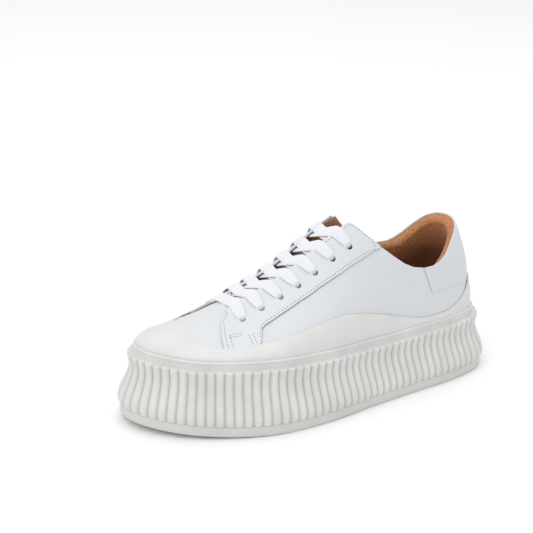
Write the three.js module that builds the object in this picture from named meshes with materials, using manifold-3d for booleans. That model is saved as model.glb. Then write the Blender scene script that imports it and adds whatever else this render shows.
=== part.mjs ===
// Platform sneaker, left shoe. Millimetres, +Z up, toe towards -Y, outer (lateral) side towards +X.
// Every form comes from one last: a closed outline at the height of the rib tops and, at each
// section of it, a curved profile that climbs from the bead of the sole to the ridge of the foot.
import * as THREE from 'three';
import { mergeVertices } from 'three/addons/utils/BufferGeometryUtils.js';
import Module from 'manifold-3d';

const wasm = await Module();
wasm.setup();

// ------------------------------------------------------------------ driving dimensions

const GAP = 0.3;                 // clearance between touching pieces
const LEATHER = 2.0;             // wall of the upper: leather with its lining
const BAND_HEIGHT = 8.0;         // plain band of the outsole
const RIBS = 106;                // upright ribs round the whole wall
const RIB_DEPTH = 1.4;           // crest of a rib above its groove
const FLARE = { toe: 6.5, side: 6.1, heel: 5.3 };   // foot of the wall beyond the rib tops
const CUP_INSET = 6.5;           // outer face of the upper inside the rib-top outline
const CUP_DEPTH = 7.0;           // floor of the cup below the rib tops
const BEAD_RISE = 6.7;           // top of the bead above the rib tops
const RAND = { thickness: 2.0, clear: 0.5, least: 0.03 };   // least is a share of the profile
const INSOLE = { inset: 9.4, thickness: 4.0, edge: 1.2 };
const SPRING = { rise: 5.3, start: -40, run: 98 };  // the sole lies flat behind the start
const LUG = { depth: 2.2, groove: 3.0, rim: 7.0 };
const LUG_GROOVES = [-112, -98, -84, -70, -56, -42, -28, -14, 66, 80, 94, 108];
const ARCH = { from: 4, to: 52 };                   // hollow under the waist
const THROAT = { front: -74, round: 7, half: 8.9, spread: 0.006, back: 50 };
const CORNER = 4;                // rounding where the throat meets the collar
const EYELET = { radius: 2.3, reach: 22.4, narrows: 0.0215, rows: [-61.7, -49.4, -36, -23.1, -10.7, 2.1, 14.5] };
const TONGUE = { from: -84, to: 22, halfFront: 17, halfTop: 25, thickness: 3.2, below: 2.9 };
const TONGUE_DROOP = { from: -12, depth: 12 };
const TONGUE_DIP = { depth: 3.6, half: 13 };        // pressed flat under the taut lace
const LACE = { width: 8.5, thickness: 1.4, inner: 7.0, step: 5.2, sunk: -1.2, edge: 9.5,
  first: 3.4, proud: 2.1, over: 0.4 };

// One row for each section, from the toe tip to the heel. lat and med are the outline's points,
// ribTop the height there, spine the place where the section's two profiles meet. rise1 and
// bulge set a profile's first handle, rise2 and reach its second, and ridge its end height.
const SECTIONS = [
  { latX: -6.1, latY: -136.1, medX: -6.1, medY: -136.1, ribTop: 48.1, spineX: -6.0, spineY: -92.0,
    rise1: 4.4, bulge: 1.0, rise2: 8.8, reach: 0.48, ridge: 11.2 },
  { latX: 16.5, latY: -127.5, medX: -24.8, medY: -124.4, ribTop: 47.3, spineX: -6.0, spineY: -88.5,
    rise1: 2.8, bulge: 1.0, rise2: 9.4, reach: 0.54, ridge: 13.4 },
  { latX: 38.3, latY: -101.4, medX: -37.4, medY: -100.7, ribTop: 45.4, spineX: -5.2, spineY: -78.7,
    rise1: 2.4, bulge: 1.0, rise2: 10.9, reach: 0.60, ridge: 19.8 },
  { latX: 53.9, latY: -59.8, medX: -47.8, medY: -64.5, ribTop: 44.5, spineX: -4.0, spineY: -56.5,
    rise1: 6.8, bulge: 1.0, rise2: 17.9, reach: 0.55, ridge: 32.2 },
  { latX: 54.4, latY: -16.3, medX: -44.0, medY: -25.2, ribTop: 42.5, spineX: -2.5, spineY: -21.6,
    rise1: 20.7, bulge: 1.6, rise2: 35.7, reach: 0.51, ridge: 50.8 },
  { latX: 47.9, latY: 26.1, medX: -38.4, medY: 14.8, ribTop: 40.2, spineX: 0.2, spineY: 17.1,
    rise1: 35.8, bulge: 2.4, rise2: 70.4, reach: 0.49, ridge: 78.4 },
  { latX: 43.2, latY: 65.7, medX: -38.2, medY: 59.8, ribTop: 39.5, spineX: 1.1, spineY: 56.3,
    rise1: 37.9, bulge: 2.4, rise2: 87.3, reach: 0.40, ridge: 98.8 },
  { latX: 39.0, latY: 100.4, medX: -38.8, medY: 99.8, ribTop: 39.6, spineX: 1.0, spineY: 82.8,
    rise1: 37.7, bulge: 1.4, rise2: 85.3, reach: 0.42, ridge: 99.7 },
  { latX: 28.2, latY: 128.2, medX: -27.8, medY: 127.2, ribTop: 40.0, spineX: 1.0, spineY: 94.0,
    rise1: 35.0, bulge: 0.6, rise2: 79.3, reach: 0.42, ridge: 97.0 },
  { latX: -0.1, latY: 138.0, medX: -0.1, medY: 138.0, ribTop: 40.2, spineX: 1.0, spineY: 98.0,
    rise1: 34.0, bulge: 0.3, rise2: 77.0, reach: 0.42, ridge: 96.0 },
];

// Height of the collar's edge along the shoe, from above the instep round to the heel.
const COLLAR = [
  { y: -40, z: 190 }, { y: 0, z: 149 }, { y: 12, z: 135 }, { y: 20, z: 127.5 }, { y: 30, z: 117.2 },
  { y: 40, z: 107.4 }, { y: 50, z: 98.8 }, { y: 58, z: 92.8 }, { y: 66, z: 88.8 },
  { y: 76, z: 86.4 }, { y: 85, z: 86.2 }, { y: 91, z: 88 }, { y: 97, z: 91.6 },
  { y: 102, z: 96.6 }, { y: 106, z: 100.6 }, { y: 111, z: 105.8 }, { y: 116, z: 109.6 },
  { y: 121, z: 111.6 }, { y: 140, z: 112 },
];

// How far up the profile the rand climbs: at is 0 at the toe tip and 1 at the heel.
const RAND_CLIMB = [
  { at: 0, t: 0.86 }, { at: 0.06, t: 0.84 }, { at: 0.11, t: 0.79 }, { at: 0.146, t: 0.71 },
  { at: 0.187, t: 0.54 }, { at: 0.221, t: 0.365 }, { at: 0.256, t: 0.325 }, { at: 0.285, t: 0.333 },
  { at: 0.34, t: 0.312 }, { at: 0.42, t: 0.285 }, { at: 0.464, t: 0.275 }, { at: 0.486, t: 0.26 },
  { at: 0.501, t: 0.242 }, { at: 0.534, t: 0.19 }, { at: 0.576, t: 0.14 }, { at: 0.627, t: 0.088 },
  { at: 0.683, t: 0.038 }, { at: 0.715, t: 0.03 }, { at: 0.763, t: 0.03 }, { at: 0.781, t: 0.035 },
  { at: 0.805, t: 0.055 }, { at: 0.833, t: 0.085 }, { at: 0.86, t: 0.14 }, { at: 0.89, t: 0.19 },
  { at: 0.92, t: 0.215 }, { at: 1, t: 0.225 },
];

// The groove line of the ribbed wall: share of the height, share of the flare, and a set-in.
const WALL_CURVE = [
  { up: 0, flare: 1, inward: 0.6 }, { up: 0.1, flare: 1.05, inward: 0 },
  { up: 0.27, flare: 0.82, inward: 0 }, { up: 0.5, flare: 0.32, inward: 0.5 },
  { up: 0.74, flare: 0, inward: 1.1 }, { up: 1, flare: 0, inward: 0 },
];

// The ledge above the ribs: set-in from the rib tops and rise above them, up to the cup's rim.
const LEDGE_CURVE = [
  { inward: 2.2, rise: 0.4 }, { inward: 3.0, rise: 4.9 }, { inward: 2.6, rise: 5.6 },
  { inward: 3.3, rise: BEAD_RISE }, { inward: CUP_INSET - GAP, rise: BEAD_RISE },
  { inward: CUP_INSET - GAP, rise: -CUP_DEPTH },
];

// ------------------------------------------------------------------ curves of the last

const lastRow = SECTIONS.length - 1;
const outlinePoints = [
  ...SECTIONS.map((row) => new THREE.Vector2(row.latX, row.latY)),
  ...SECTIONS.slice(1, lastRow).reverse().map((row) => new THREE.Vector2(row.medX, row.medY)),
];

const clamp = THREE.MathUtils.clamp;
const wrap = (u) => ((u % 1) + 1) % 1;

// Catmull-Rom curve between b and c, and its slope.
function curve(a, b, c, d, f) {
  return b + 0.5 * f * (c - a + f * (2 * a - 5 * b + 4 * c - d + f * (3 * (b - c) + d - a)));
}

function curveSlope(a, b, c, d, f) {
  return 0.5 * (c - a + 2 * f * (2 * a - 5 * b + 4 * c - d) + 3 * f * f * (3 * (b - c) + d - a));
}

// Point of the rib-top outline and its outward direction; u runs 0 to 1, toe, lateral, heel, medial.
function outline(u) {
  const count = outlinePoints.length;
  const place = wrap(u) * count;
  const first = Math.floor(place);
  const f = place - first;
  const [a, b, c, d] = [-1, 0, 1, 2].map((k) => outlinePoints[(first + k + count) % count]);
  const slopeX = curveSlope(a.x, b.x, c.x, d.x, f);
  const slopeY = curveSlope(a.y, b.y, c.y, d.y, f);
  const length = Math.hypot(slopeX, slopeY);
  return {
    x: curve(a.x, b.x, c.x, d.x, f),
    y: curve(a.y, b.y, c.y, d.y, f),
    outX: slopeY / length,
    outY: -slopeX / length,
  };
}

// A column of SECTIONS at u, the same for both sides of the shoe.
function column(name, u) {
  const place = 2 * Math.min(wrap(u), 1 - wrap(u)) * lastRow;
  const first = Math.min(Math.floor(place), lastRow - 1);
  const mirrored = (k) => SECTIONS[lastRow - Math.abs(lastRow - Math.abs(k))][name];
  const values = [-1, 0, 1, 2].map((k) => mirrored(first + k));
  return curve(...values, place - first);
}

// Straight-line value of a table whose rows rise in the column key.
function lookUp(table, key, name, at) {
  const after = table.findIndex((row) => row[key] > at);
  if (after === 0) return table[0][name];
  if (after < 0) return table[table.length - 1][name];
  const [low, high] = [table[after - 1], table[after]];
  return low[name] + (high[name] - low[name]) * (at - low[key]) / (high[key] - low[key]);
}

// Outer face of the upper: t is 0 at the bead and 1 at the ridge.
function profile(u, t) {
  const edge = outline(u);
  const startX = edge.x - edge.outX * CUP_INSET;
  const startY = edge.y - edge.outY * CUP_INSET;
  const spine = new THREE.Vector2(column('spineX', u), column('spineY', u));
  const span = Math.hypot(spine.x - startX, spine.y - startY);
  const s = 1 - t;
  const inward = 3 * t * s * s * -column('bulge', u)
    + 3 * t * t * s * column('reach', u) * span + t * t * t * span;
  const rise = 3 * t * s * s * column('rise1', u)
    + 3 * t * t * s * column('rise2', u) + t * t * t * column('ridge', u);
  return new THREE.Vector3(
    startX + (spine.x - startX) * inward / span,
    startY + (spine.y - startY) * inward / span,
    column('ribTop', u) + BEAD_RISE + rise,
  );
}

// Outward normal of the upper, from two short chords.
function profileNormal(u, t) {
  const small = 0.001;
  const along = profile(u + small, t).sub(profile(u - small, t));
  const up = profile(u, Math.min(t + small, 1)).sub(profile(u, Math.max(t - small, 0)));
  return along.cross(up).normalize();
}

// On the ridge the two sides meet, so their normals are averaged.
function upperNormal(u, t) {
  const normal = profileNormal(u, t);
  if (t === 1) normal.add(profileNormal(1 - u, t)).normalize();
  return normal;
}

function toeSpring(y) {
  return SPRING.rise * (Math.max(SPRING.start - y, 0) / SPRING.run) ** 2;
}

function flare(outY) {
  const end = outY < 0 ? FLARE.toe : FLARE.heel;
  return THREE.MathUtils.lerp(FLARE.side, end, outY * outY);
}

// ------------------------------------------------------------------ openings of the upper

function throatGap(y) {
  const behind = y - THROAT.front;
  if (behind < 0 || y > THROAT.back) return -THROAT.half;
  return (THROAT.half + THROAT.spread * behind) * Math.sqrt(Math.min(1, behind / THROAT.round));
}

// Positive where the leather is cut away, with a rounded corner between throat and collar.
function cutAway(u, t) {
  const point = profile(u, t);
  const overCollar = point.z - lookUp(COLLAR, 'y', 'z', point.y);
  const inThroat = throatGap(point.y) - Math.abs(point.x - column('spineX', u));
  const overlap = Math.max(CORNER - Math.abs(overCollar - inThroat), 0);
  return Math.max(overCollar, inThroat) + overlap * overlap / (4 * CORNER);
}

// Where the profile at u reaches the edge of an opening, or 1 where the vamp is closed.
function edgeOfLeather(u) {
  const step = 0.01;
  let t = 0.1;
  while (t < 1 - step && cutAway(u, t) <= 0) t += step;
  if (t >= 1 - step && cutAway(u, 0.999) <= 0) return 1;
  let low = t - step;
  let high = t;
  for (let pass = 0; pass < 20; pass += 1) {
    const middle = (low + high) / 2;
    if (cutAway(u, middle) > 0) high = middle;
    else low = middle;
  }
  return low;
}

// Station whose spine lies at y, on the lateral side.
function stationAt(spineY) {
  let low = 0;
  let high = 0.5;
  for (let pass = 0; pass < 30; pass += 1) {
    const middle = (low + high) / 2;
    if (column('spineY', middle) < spineY) low = middle;
    else high = middle;
  }
  return low;
}

// Place over the foot: across is measured from the spine, positive on the lateral side, and lift
// is the height above the outer face of the leather.
function overFoot(spineY, across, lift) {
  const lateral = stationAt(spineY);
  const u = across >= 0 ? lateral : 1 - lateral;
  const spineX = column('spineX', u);
  const distance = (t) => {
    const point = profile(u, t);
    return Math.hypot(point.x - spineX, point.y - column('spineY', u));
  };
  let low = 0;
  let high = 1;
  for (let pass = 0; pass < 24; pass += 1) {
    const middle = (low + high) / 2;
    if (distance(middle) > Math.abs(across)) low = middle;
    else high = middle;
  }
  const t = Math.abs(across) < 0.001 ? 1 : low;
  const normal = upperNormal(u, t);
  return { point: profile(u, t).addScaledVector(normal, lift), normal };
}

// ------------------------------------------------------------------ making closed meshes

// Stations at equal steps along each side of the outline, the toe tip first.
function evenStations(count) {
  const fine = 400;
  const stations = [];
  for (const side of [0, 0.5]) {
    const lengths = [0];
    for (let k = 1; k <= fine; k += 1) {
      const [p, q] = [outline(side + (k - 1) * 0.5 / fine), outline(side + k * 0.5 / fine)];
      lengths.push(lengths[k - 1] + Math.hypot(q.x - p.x, q.y - p.y));
    }
    for (let i = 0; i < count / 2; i += 1) {
      const target = lengths[fine] * i / (count / 2);
      const k = clamp(lengths.findIndex((length) => length > target), 1, fine);
      const f = (target - lengths[k - 1]) / (lengths[k] - lengths[k - 1]);
      stations.push(side + (k - 1 + f) * 0.5 / fine);
    }
  }
  return stations;
}

// Closed loop of points: outset and height are functions of the outline's point and its number.
function ring(stations, outset, height) {
  return stations.map((u, i) => {
    const edge = { ...outline(u), u };
    const by = outset(edge, i);
    return new THREE.Vector3(edge.x + edge.outX * by, edge.y + edge.outY * by, height(edge, i));
  });
}

// Triangles between two loops that run the same way, the first below or outside the second.
function band(lower, upper) {
  const triangles = [];
  let i = 0;
  let j = 0;
  while (i < lower.length || j < upper.length) {
    const a = lower[i % lower.length];
    const b = upper[j % upper.length];
    const lowerNext = (i + 1) / lower.length <= (j + 1) / upper.length;
    if (j >= upper.length || (i < lower.length && lowerNext)) {
      i += 1;
      triangles.push([a, lower[i % lower.length], b]);
    } else {
      j += 1;
      triangles.push([a, upper[j % upper.length], b]);
    }
  }
  return triangles;
}

const flipped = (triangles) => triangles.map(([a, b, c]) => [a, c, b]);

// Cap whose rungs run straight across the shoe, facing up.
function ladder(loop) {
  const triangles = [];
  const half = loop.length / 2;
  for (let i = 0; i < half; i += 1) {
    const [a, b] = [loop[i], loop[i + 1]];
    const [c, d] = [loop[loop.length - i - 1], loop[(loop.length - i) % loop.length]];
    if (i < half - 1) triangles.push([a, b, c]);
    else triangles.push([a, b, d]);
    if (i > 0 && i < half - 1) triangles.push([a, c, d]);
  }
  return triangles;
}

const stacked = (rings) => rings.slice(1).flatMap((loop, i) => band(rings[i], loop));

function volumeOf(geometry) {
  const { index } = geometry;
  const corner = (k) => new THREE.Vector3().fromBufferAttribute(geometry.attributes.position,
    index.getX(k));
  let volume = 0;
  for (let k = 0; k < index.count; k += 3) {
    volume += corner(k).dot(corner(k + 1).cross(corner(k + 2))) / 6;
  }
  return volume;
}

// Indexed geometry with merged corners and outward faces.
function closed(triangles) {
  const loose = new THREE.BufferGeometry();
  loose.setFromPoints(triangles.flat());
  const geometry = mergeVertices(loose, 0.0005);
  if (volumeOf(geometry) < 0) {
    const { index } = geometry;
    for (let k = 0; k < index.count; k += 3) {
      const second = index.getX(k + 1);
      index.setX(k + 1, index.getX(k + 2));
      index.setX(k + 2, second);
    }
  }
  return geometry;
}

function toManifold(geometry) {
  const bare = geometry.clone();
  bare.deleteAttribute('normal');
  bare.deleteAttribute('uv');
  const merged = mergeVertices(bare, 0.0005);
  return new wasm.Manifold(new wasm.Mesh({
    numProp: 3,
    vertProperties: new Float32Array(merged.attributes.position.array),
    triVerts: new Uint32Array(merged.index.array),
  }));
}

function fromManifold(manifold) {
  const { vertProperties, triVerts } = manifold.getMesh();
  const geometry = new THREE.BufferGeometry();
  geometry.setAttribute('position', new THREE.BufferAttribute(vertProperties, 3));
  geometry.setIndex(new THREE.BufferAttribute(triVerts, 1));
  return geometry;
}

function subtractAll(body, tools) {
  const left = tools.reduce((solid, tool) => solid.subtract(tool), toManifold(body));
  return fromManifold(left);
}

function piece(name, geometry, color, roughness) {
  geometry.computeVertexNormals();
  const material = new THREE.MeshStandardMaterial({ color, roughness, metalness: 0 });
  const mesh = new THREE.Mesh(geometry, material);
  mesh.name = name;
  return mesh;
}

// ------------------------------------------------------------------ the sole

const soleStations = evenStations(RIBS);

// Slab with a plain band round it, rounded at the floor.
function outsoleSlab() {
  const loop = (inward, height) => ring(soleStations, (edge) => flare(edge.outY) - inward,
    (edge) => height + toeSpring(edge.y));
  const rings = [loop(1.3, 0), loop(0, 1.3), loop(0.1, BAND_HEIGHT - 1), loop(0.8, BAND_HEIGHT)];
  return closed([...flipped(ladder(rings[0])), ...stacked(rings), ...ladder(rings[3])]);
}

// The space inside the rim, as deep as a lug stands.
function underSide() {
  const deep = -2;
  const loop = (height) => ring(soleStations, (edge) => flare(edge.outY) - LUG.rim, height);
  const low = loop(() => deep);
  const high = loop((edge) => LUG.depth + toeSpring(edge.y));
  return toManifold(closed([...flipped(ladder(low)), ...band(low, high), ...ladder(high)]));
}

function crossBar(from, to) {
  const bar = new THREE.BoxGeometry(200, to - from, 40);
  bar.translate(0, (from + to) / 2, 0);
  return toManifold(bar);
}

function outsole() {
  const inside = underSide();
  const half = LUG.groove / 2;
  const bars = LUG_GROOVES.map((y) => crossBar(y - half, y + half));
  bars.push(crossBar(ARCH.from, ARCH.to));
  const hollows = bars.map((bar) => inside.intersect(bar));
  return piece('outsole', subtractAll(outsoleSlab(), hollows), '#cbcac5', 0.6);
}

// Ribbed wall, ledge with its bead, and the cup that the upper stands in.
function midsole() {
  const ribStations = evenStations(2 * RIBS);
  const foot = BAND_HEIGHT + GAP;
  const ribLoop = ({ up, flare: share, inward }) => ring(
    ribStations,
    (edge, i) => flare(edge.outY) * share - inward + (i % 2 === 0 ? RIB_DEPTH : 0),
    (edge) => THREE.MathUtils.lerp(foot + toeSpring(edge.y), column('ribTop', edge.u), up),
  );
  const ledgeLoop = ({ inward, rise }) => ring(soleStations, () => -inward,
    (edge) => column('ribTop', edge.u) + rise);
  const rings = [...WALL_CURVE.map(ribLoop), ...LEDGE_CURVE.map(ledgeLoop)];
  const floor = rings[rings.length - 1];
  return piece('midsole',
    closed([...flipped(ladder(rings[0])), ...stacked(rings), ...ladder(floor)]), '#dedcd9', 0.55);
}

function insole() {
  const stations = evenStations(28);
  const loop = (inward, height) => ring(stations, () => -INSOLE.inset - inward,
    (edge) => column('ribTop', edge.u) - CUP_DEPTH + GAP + height);
  const rings = [loop(0, 0), loop(0, INSOLE.thickness - INSOLE.edge),
    loop(INSOLE.edge, INSOLE.thickness)];
  return piece('insole',
    closed([...flipped(ladder(rings[0])), ...stacked(rings), ...ladder(rings[2])]), '#a97350', 0.9);
}

// ------------------------------------------------------------------ the upper and its rand

const upperColumns = 68;
const upperRows = 7;
const upperStations = Array.from({ length: upperColumns }, (_, i) => i / upperColumns);

// Leather wall: outer face, the same face set in by the leather's thickness, and its edges.
function upperShell() {
  const edges = upperStations.map(edgeOfLeather);
  const outer = [ring(upperStations, () => -CUP_INSET,
    (edge) => column('ribTop', edge.u) - CUP_DEPTH + GAP)];
  const inner = [ring(upperStations, () => -CUP_INSET - LEATHER,
    (edge) => column('ribTop', edge.u) - CUP_DEPTH + GAP)];
  for (let row = 0; row <= upperRows; row += 1) {
    const place = (i) => [upperStations[i], edges[i] * row / upperRows];
    outer.push(upperStations.map((_, i) => profile(...place(i))));
    inner.push(upperStations.map((_, i) => profile(...place(i))
      .addScaledVector(upperNormal(...place(i)), -LEATHER)));
  }
  const rim = [];
  const [outerTop, innerTop] = [outer[outer.length - 1], inner[inner.length - 1]];
  for (let i = 0; i < upperColumns; i += 1) {
    const next = (i + 1) % upperColumns;
    if (edges[i] === 1 && edges[next] === 1) continue;
    rim.push([outerTop[i], outerTop[next], innerTop[next]]);
    rim.push([outerTop[i], innerTop[next], innerTop[i]]);
  }
  return closed([...stacked(outer), ...rim, ...flipped(stacked(inner)),
    ...flipped(band(outer[0], inner[0]))]);
}

// Distance of a lace hole from the ridge; the two rows of holes close in towards the collar.
function eyeletReach(y) {
  return EYELET.reach - EYELET.narrows * (y - EYELET.rows[0]);
}

function eyeletPunch(spineY, across) {
  const punch = new THREE.CylinderGeometry(EYELET.radius, EYELET.radius, 10, 8);
  const { point, normal } = overFoot(spineY, across, 0);
  punch.applyQuaternion(new THREE.Quaternion().setFromUnitVectors(
    new THREE.Vector3(0, 1, 0), normal));
  punch.translate(point.x, point.y, point.z);
  return toManifold(punch);
}

function upper() {
  const punches = EYELET.rows.flatMap((y) => [
    eyeletPunch(y, eyeletReach(y)), eyeletPunch(y, -eyeletReach(y))]);
  return piece('upper', subtractAll(upperShell(), punches), '#e6e7e9', 0.45);
}

// Smooth band over the foot of the upper: it caps the toe, dips at the waist and backs the heel.
function rand() {
  const rows = 4;
  const climb = (u) => Math.max(lookUp(RAND_CLIMB, 'at', 't', 2 * Math.min(u, 1 - u)), RAND.least);
  const face = (lift) => {
    const foot = ring(upperStations, () => lift - CUP_INSET,
      (edge) => column('ribTop', edge.u) + BEAD_RISE + GAP);
    const loops = [foot];
    for (let row = 1; row <= rows; row += 1) {
      loops.push(upperStations.map((u) => {
        const t = climb(u) * row / rows;
        return profile(u, t).addScaledVector(upperNormal(u, t), lift);
      }));
    }
    return loops;
  };
  const outer = face(RAND.clear + RAND.thickness);
  const inner = face(RAND.clear);
  return piece('rand', closed([...stacked(outer), ...band(outer[rows], inner[rows]),
    ...flipped(stacked(inner)), ...flipped(band(outer[0], inner[0]))]), '#e4e3e0', 0.5);
}

// ------------------------------------------------------------------ tongue and lace

// Padded strip under the facings, sagging into the shoe at its free end.
function tongue() {
  const rows = 9;
  const columns = 8;
  const loops = [];
  for (let row = 0; row <= rows; row += 1) {
    const y = THREE.MathUtils.lerp(TONGUE.from, TONGUE.to, row / rows);
    const half = THREE.MathUtils.lerp(TONGUE.halfFront, TONGUE.halfTop, row / rows);
    const sag = Math.max((y - TONGUE_DROOP.from) / (TONGUE.to - TONGUE_DROOP.from), 0);
    const depth = TONGUE.below + TONGUE_DROOP.depth * sag * sag;
    const side = (lift, backwards) => Array.from({ length: columns + 1 }, (_, k) => {
      const across = half * (1 - 2 * k / columns) * (backwards ? -1 : 1);
      const dip = TONGUE_DIP.depth * Math.max(1 - (across / TONGUE_DIP.half) ** 2, 0);
      return overFoot(y, across, lift - dip).point;
    });
    loops.push([...side(-depth, false), ...side(-depth - TONGUE.thickness, true)]);
  }
  const end = (loop) => {
    const last = loop.length - 1;
    return Array.from({ length: columns }, (_, k) => [
      [loop[k], loop[k + 1], loop[last - k - 1]], [loop[k], loop[last - k - 1], loop[last - k]],
    ]).flat();
  };
  return piece('tongue', closed([...flipped(end(loops[0])), ...stacked(loops),
    ...end(loops[rows])]), '#e2e3e4', 0.5);
}

// Flat lace along a path of places over the foot.
function ribbon(path) {
  const loops = path.map(({ point, normal }, i) => {
    const before = path[Math.max(i - 1, 0)].point;
    const after = path[Math.min(i + 1, path.length - 1)].point;
    const side = after.clone().sub(before).cross(normal).normalize();
    const corner = (across, up) => point.clone()
      .addScaledVector(side, across * LACE.width / 2)
      .addScaledVector(normal, up * LACE.thickness / 2);
    return [corner(-1, -1), corner(1, -1), corner(1, 1), corner(-1, 1)];
  });
  const end = ([a, b, c, d]) => [[a, b, c], [a, c, d]];
  return closed([...end(loops[0]), ...flipped(stacked(loops)),
    ...flipped(end(loops[loops.length - 1]))]);
}

// The lace is taut over the throat, so between two places it runs straight.
function straight(from, to, count) {
  return Array.from({ length: count }, (_, k) => ({
    point: from.point.clone().lerp(to.point, k / count),
    normal: from.normal.clone().lerp(to.normal, k / count).normalize(),
  }));
}

// From the edge of a facing the lace follows the leather and ends at a hole.
function overFacing(fromY, toY, side, count) {
  return Array.from({ length: count + 1 }, (_, k) => {
    const f = k / count;
    const across = side * THREE.MathUtils.lerp(LACE.edge, eyeletReach(toY), f);
    return overFoot(THREE.MathUtils.lerp(fromY, toY, f), across, LACE.proud - 0.3 * f);
  });
}

// The first bar goes straight across from hole to hole.
function laceBar() {
  const [y] = EYELET.rows;
  const [near, far] = [1, -1].map((side) => overFacing(y, y, side, 2));
  const path = [...near.reverse().slice(0, -1), ...straight(near[2], far[0], 4), ...far];
  return piece('lace_bar', ribbon(path), '#eeeef3', 0.8);
}

// One end of the lace leaves the throat beside one facing and ends at the hole across from it.
function laceRun(row, side) {
  const fromY = EYELET.rows[row] + LACE.step + (row === 0 ? LACE.first : 0);
  const toY = EYELET.rows[row + 1];
  const start = overFoot(fromY, side * LACE.inner, LACE.sunk);
  const share = (LACE.inner + LACE.edge) / (LACE.inner + eyeletReach(toY));
  const facing = overFacing(THREE.MathUtils.lerp(fromY, toY, share), toY, -side, 3);
  const throat = straight(start, facing[0], 4);
  const count = throat.length;
  throat.forEach(({ point, normal }, k) => {
    point.addScaledVector(normal, -side * LACE.over * Math.sin(Math.PI * k / count));
  });
  return toManifold(ribbon([...throat, ...facing]));
}

function laceCross(row) {
  const crossing = laceRun(row, 1).add(laceRun(row, -1));
  return piece(`lace_cross_${row + 1}`, fromManifold(crossing), '#eeeef3', 0.8);
}

// ------------------------------------------------------------------ the shoe

const shoe = new THREE.Group();
shoe.add(outsole(), midsole(), insole(), upper(), rand(), tongue(), laceBar());
for (let row = 0; row < EYELET.rows.length - 1; row += 1) shoe.add(laceCross(row));

// The origin is under the middle of the shoe's box, at the floor.
const box = new THREE.Box3().setFromObject(shoe, true);
const middle = box.getCenter(new THREE.Vector3());
shoe.position.set(-middle.x, -middle.y, -box.min.z);

export default shoe;
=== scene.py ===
import math

import bpy
import numpy as np
from mathutils import Matrix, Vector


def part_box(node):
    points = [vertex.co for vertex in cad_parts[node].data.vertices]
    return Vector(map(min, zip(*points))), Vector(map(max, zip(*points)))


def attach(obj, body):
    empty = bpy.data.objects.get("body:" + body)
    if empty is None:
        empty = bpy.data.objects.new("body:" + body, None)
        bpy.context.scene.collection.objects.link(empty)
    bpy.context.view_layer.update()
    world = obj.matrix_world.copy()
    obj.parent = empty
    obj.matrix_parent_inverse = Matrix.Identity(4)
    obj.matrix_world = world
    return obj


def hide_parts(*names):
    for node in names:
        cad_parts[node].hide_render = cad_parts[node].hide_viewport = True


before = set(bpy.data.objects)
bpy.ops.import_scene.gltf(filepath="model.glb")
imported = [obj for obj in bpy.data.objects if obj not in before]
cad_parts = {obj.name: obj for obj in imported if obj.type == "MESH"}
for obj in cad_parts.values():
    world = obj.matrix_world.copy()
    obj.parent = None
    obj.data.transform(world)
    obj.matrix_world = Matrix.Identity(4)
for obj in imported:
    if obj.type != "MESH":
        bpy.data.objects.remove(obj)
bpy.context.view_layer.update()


# ---------------------------------------------------------------- outsole
# The outsole is one moulded rubber slab under the whole shoe. A plain band runs round its edge,
# and cross grooves with a hollow under the waist leave the lugs. It is cemented to the wall.

MM = 0.001

# The last, a row of ten values each from the toe tip to the heel, in millimetres. lat and med are
# points of the outline at the rib tops, rib_top its height, and spine where the two sides meet.
# rise_1 and bulge place the first handle of a side's curve, rise_2 and reach its second one.
LAST = {
    "lat_x": [-6.1, 16.5, 38.3, 53.9, 54.4, 47.9, 43.2, 39.0, 28.2, -0.1],
    "lat_y": [-136.1, -127.5, -101.4, -59.8, -16.3, 26.1, 65.7, 100.4, 128.2, 138.0],
    "med_x": [-6.1, -24.8, -37.4, -47.8, -44.0, -38.4, -38.2, -38.8, -27.8, -0.1],
    "med_y": [-136.1, -124.4, -100.7, -64.5, -25.2, 14.8, 59.8, 99.8, 127.2, 138.0],
    "rib_top": [48.1, 47.3, 45.4, 44.5, 42.5, 40.2, 39.5, 39.6, 40.0, 40.2],
    "spine_x": [-6.0, -6.0, -5.2, -4.0, -2.5, 0.2, 1.1, 1.0, 1.0, 1.0],
    "spine_y": [-92.0, -88.5, -78.7, -56.5, -21.6, 17.1, 56.3, 82.8, 94.0, 98.0],
    "rise_1": [4.4, 2.8, 2.4, 6.8, 20.7, 35.8, 37.9, 37.7, 35.0, 34.0],
    "bulge": [1.0, 1.0, 1.0, 1.0, 1.6, 2.4, 2.4, 1.4, 0.6, 0.3],
    "rise_2": [8.8, 9.4, 10.9, 17.9, 35.7, 70.4, 87.3, 85.3, 79.3, 77.0],
    "reach": [0.48, 0.54, 0.60, 0.55, 0.51, 0.49, 0.40, 0.42, 0.42, 0.42],
    "ridge": [11.2, 13.4, 19.8, 32.2, 50.8, 78.4, 98.8, 99.7, 97.0, 96.0],
}
SECTIONS = 9
FLARE = {"toe": 6.5, "side": 6.1, "heel": 5.3}
TOE_SPRING = {"rise": 5.3, "start": -40.0, "run": 98.0}
RIBS = 106
BAND_HEIGHT = 8.0
BAND = {"corner": 1.3, "swell": 0.15, "lean": 0.1, "flat_to": 7.0}
LUG = {"depth": 2.2, "groove": 3.0, "rim": 7.0}
LUG_GROOVES = [-112, -98, -84, -70, -56, -42, -28, -14, 66, 80, 94, 108]
ARCH = (4.0, 52.0)


def smooth_through(before, low, high, after, f):
    """Catmull-Rom curve: passes low at f = 0 and high at f = 1, with slopes from the neighbours."""
    return low + 0.5 * f * (high - before + f * (2 * before - 5 * low + 4 * high - after
                                                 + f * (3 * (low - high) + after - before)))


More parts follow.
